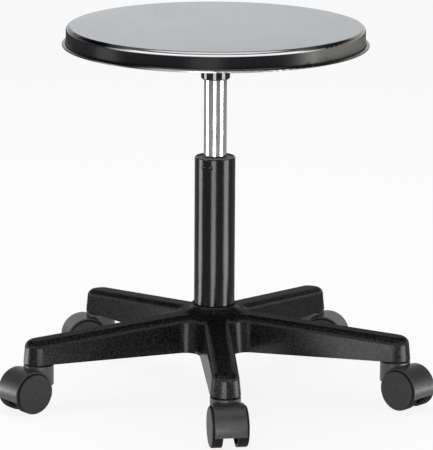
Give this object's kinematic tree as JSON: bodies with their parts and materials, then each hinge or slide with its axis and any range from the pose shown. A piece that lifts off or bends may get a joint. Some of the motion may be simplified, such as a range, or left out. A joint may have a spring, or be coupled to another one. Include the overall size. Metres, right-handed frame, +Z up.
{
  "type": "machinist stool",
  "caption": "Round pressed steel stool seat on a gas lift column over a five arm moulded base with twin wheel swivel casters.",
  "frame": {"origin": "on the floor, under the column's swivel axis, where the ten wheels' plane meets it", "axes": "+Z up along the column, -Y to the front, +X to the right when seen from the front"},
  "size_m": [0.5324, 0.4948, 0.46],
  "materials": {
    "pan_steel": "fine satin grain",
    "zinc_steel": "zinc plated",
    "black_paint": "semi-gloss black powder coat",
    "tube_paint": "satin black powder coat",
    "chrome": "polished chrome",
    "inner_steel": "drawn steel",
    "valve_brass": "turned",
    "inner_plastic": "moulded acetal",
    "black_rubber": "moulded rubber",
    "base_nylon": "moulded nylon with a fine grain",
    "caster_nylon": "moulded nylon",
    "wheel_nylon": "moulded nylon",
    "grip_plastic": "moulded paddle"
  },
  "bodies": {
    "base": {"star_base": "base_nylon", "outer_tube": "tube_paint", "guide_bush": "inner_plastic", "tube_base_disc": "inner_steel", "thrust_washer_lower": "zinc_steel", "thrust_balls": "zinc_steel", "grip_rings": "zinc_steel", "caster_stem_front": "zinc_steel", "caster_stem_right": "zinc_steel", "caster_stem_rear_right": "zinc_steel", "caster_stem_rear_left": "zinc_steel", "caster_stem_left": "zinc_steel"},
    "rod": {"piston_rod": "inner_steel", "piston": "inner_plastic", "piston_ring": "black_rubber", "thrust_washer_upper": "zinc_steel", "rubber_buffer": "black_rubber", "retaining_clip": "zinc_steel"},
    "seat": {"seat_pan": "pan_steel", "stiffener_left": "black_paint", "stiffener_right": "black_paint", "mount_plate": "black_paint", "weld_nuts": "zinc_steel", "seat_bolts": "zinc_steel", "spring_washers": "zinc_steel", "mechanism_box": "black_paint", "taper_socket": "black_paint", "lever_pin": "zinc_steel", "gas_cylinder": "chrome", "valve_block": "valve_brass", "pressure_tube": "inner_steel", "cylinder_gland": "inner_plastic", "gland_seal": "black_rubber"},
    "lever": {"lever_rod": "black_paint", "lever_bush": "inner_plastic", "lever_grip": "grip_plastic"},
    "valve_pin": {"valve_pin": "valve_brass"},
    "caster_front": {"caster_hood_front": "caster_nylon", "wheel_axle_front": "zinc_steel"},
    "wheel_front_a": {"wheel_front_a": "wheel_nylon"},
    "wheel_front_b": {"wheel_front_b": "wheel_nylon"},
    "caster_right": {"caster_hood_right": "caster_nylon", "wheel_axle_right": "zinc_steel"},
    "wheel_right_a": {"wheel_right_a": "wheel_nylon"},
    "wheel_right_b": {"wheel_right_b": "wheel_nylon"},
    "caster_rear_right": {"caster_hood_rear_right": "caster_nylon", "wheel_axle_rear_right": "zinc_steel"},
    "wheel_rear_right_a": {"wheel_rear_right_a": "wheel_nylon"},
    "wheel_rear_right_b": {"wheel_rear_right_b": "wheel_nylon"},
    "caster_rear_left": {"caster_hood_rear_left": "caster_nylon", "wheel_axle_rear_left": "zinc_steel"},
    "wheel_rear_left_a": {"wheel_rear_left_a": "wheel_nylon"},
    "wheel_rear_left_b": {"wheel_rear_left_b": "wheel_nylon"},
    "caster_left": {"caster_hood_left": "caster_nylon", "wheel_axle_left": "zinc_steel"},
    "wheel_left_a": {"wheel_left_a": "wheel_nylon"},
    "wheel_left_b": {"wheel_left_b": "wheel_nylon"}
  },
  "joints": [
    {"name": "seat_swivel", "type": "hinge", "parent": "base", "child": "rod", "pos_m": [0, 0, 0.0545], "axis": [0, 0, 1], "continuous": true},
    {"name": "seat_lift", "type": "slide", "parent": "rod", "child": "seat", "axis": [0, 0, 1], "range_m": [-0.09, 0]},
    {"name": "lever_pull", "type": "hinge", "parent": "seat", "child": "lever", "pos_m": [0, 0.034, 0.4368], "axis": [1, 0, 0], "range_deg": [0, 6], "stiffness_Nm_per_rad": 6, "springref_deg": -3.44},
    {"name": "valve_press", "type": "slide", "parent": "seat", "child": "valve_pin", "axis": [0, 0, -1], "range_m": [0, 0.0036]},
    {"name": "caster_front_swivel", "type": "hinge", "parent": "base", "child": "caster_front", "pos_m": [0.01401, -0.22907, 0.05], "axis": [0, 0, 1], "continuous": true},
    {"name": "wheel_front_a_spin", "type": "hinge", "parent": "caster_front", "child": "wheel_front_a", "pos_m": [0.01722, -0.24932, 0.025], "axis": [0.9877, 0.1564, 0], "continuous": true},
    {"name": "wheel_front_b_spin", "type": "hinge", "parent": "caster_front", "child": "wheel_front_b", "pos_m": [0.01722, -0.24932, 0.025], "axis": [0.9877, 0.1564, 0], "continuous": true},
    {"name": "caster_right_swivel", "type": "hinge", "parent": "base", "child": "caster_right", "pos_m": [0.22219, -0.05746, 0.05], "axis": [0, 0, 1], "continuous": true},
    {"name": "wheel_right_a_spin", "type": "hinge", "parent": "caster_right", "child": "wheel_right_a", "pos_m": [0.23742, -0.07118, 0.025], "axis": [0.6691, 0.7431, 0], "continuous": true},
    {"name": "wheel_right_b_spin", "type": "hinge", "parent": "caster_right", "child": "wheel_right_b", "pos_m": [0.23742, -0.07118, 0.025], "axis": [0.6691, 0.7431, 0], "continuous": true},
    {"name": "caster_rear_right_swivel", "type": "hinge", "parent": "base", "child": "caster_rear_right", "pos_m": [0.12331, 0.19356, 0.05], "axis": [0, 0, 1], "continuous": true},
    {"name": "wheel_rear_right_a_spin", "type": "hinge", "parent": "caster_rear_right", "child": "wheel_rear_right_a", "pos_m": [0.1432, 0.1886, 0.025], "axis": [0.2419, 0.9703, 0], "continuous": true},
    {"name": "wheel_rear_right_b_spin", "type": "hinge", "parent": "caster_rear_right", "child": "wheel_rear_right_b", "pos_m": [0.1432, 0.1886, 0.025], "axis": [0.2419, 0.9703, 0], "continuous": true},
    {"name": "caster_rear_left_swivel", "type": "hinge", "parent": "base", "child": "caster_rear_left", "pos_m": [-0.14598, 0.17709, 0.05], "axis": [0, 0, 1], "continuous": true},
    {"name": "wheel_rear_left_a_spin", "type": "hinge", "parent": "caster_rear_left", "child": "wheel_rear_left_a", "pos_m": [-0.16587, 0.17213, 0.025], "axis": [0.2419, -0.9703, 0], "continuous": true},
    {"name": "wheel_rear_left_b_spin", "type": "hinge", "parent": "caster_rear_left", "child": "wheel_rear_left_b", "pos_m": [-0.16587, 0.17213, 0.025], "axis": [0.2419, -0.9703, 0], "continuous": true},
    {"name": "caster_left_swivel", "type": "hinge", "parent": "base", "child": "caster_left", "pos_m": [-0.21353, -0.08411, 0.05], "axis": [0, 0, 1], "continuous": true},
    {"name": "wheel_left_a_spin", "type": "hinge", "parent": "caster_left", "child": "wheel_left_a", "pos_m": [-0.22946, -0.09701, 0.025], "axis": [0.6293, -0.7771, 0], "continuous": true},
    {"name": "wheel_left_b_spin", "type": "hinge", "parent": "caster_left", "child": "wheel_left_b", "pos_m": [-0.22946, -0.09701, 0.025], "axis": [0.6293, -0.7771, 0], "continuous": true}
  ],
  "couplings": [
    {"joint": "valve_press", "follows": "lever_pull", "m_per_rad": 0.034}
  ]
}
